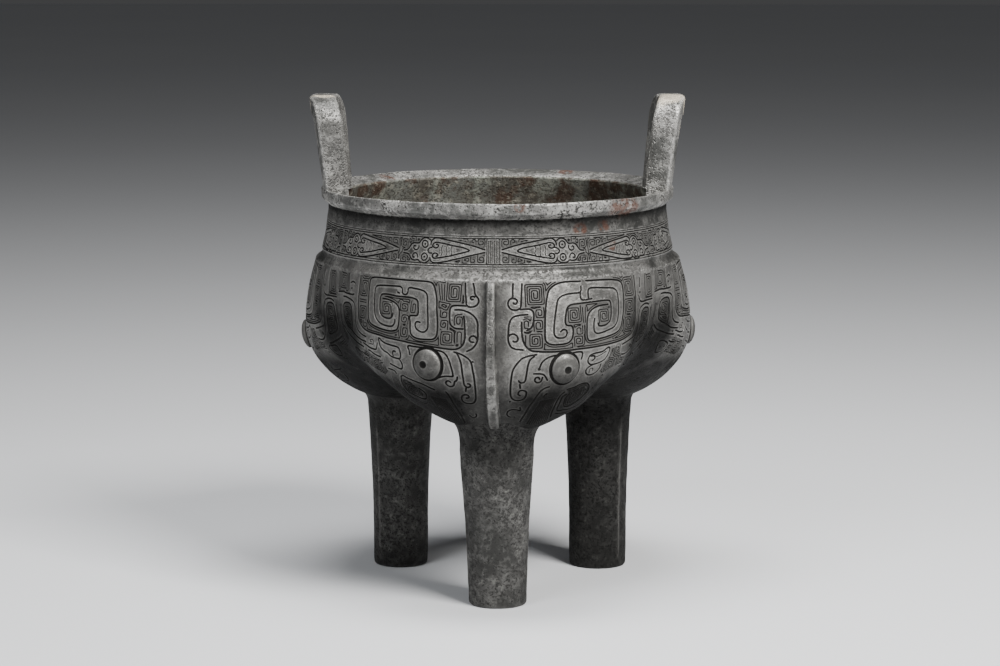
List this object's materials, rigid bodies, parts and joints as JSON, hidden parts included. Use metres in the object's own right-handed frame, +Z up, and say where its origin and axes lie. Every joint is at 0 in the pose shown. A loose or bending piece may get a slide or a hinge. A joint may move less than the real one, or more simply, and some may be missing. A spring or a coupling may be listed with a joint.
{
  "type": "tripod ding",
  "caption": "Cast bronze tripod vessel with a round mouth, lobed body over columnar legs, flanged mask relief, banded neck and upright rim handles.",
  "frame": {"origin": "centre of the plan's bounding box, on the plane the feet stand on", "axes": "+Z up through the mouth, -Y towards the leg and mask seen in front in the picture, the handles along X"},
  "size_m": [0.1768, 0.1708, 0.215],
  "materials": {
    "bronze": "dark grey-green patina with near-black recesses, paler worn rim and handles"
  },
  "bodies": {
    "root": {"ding": "bronze"}
  },
  "joints": []
}
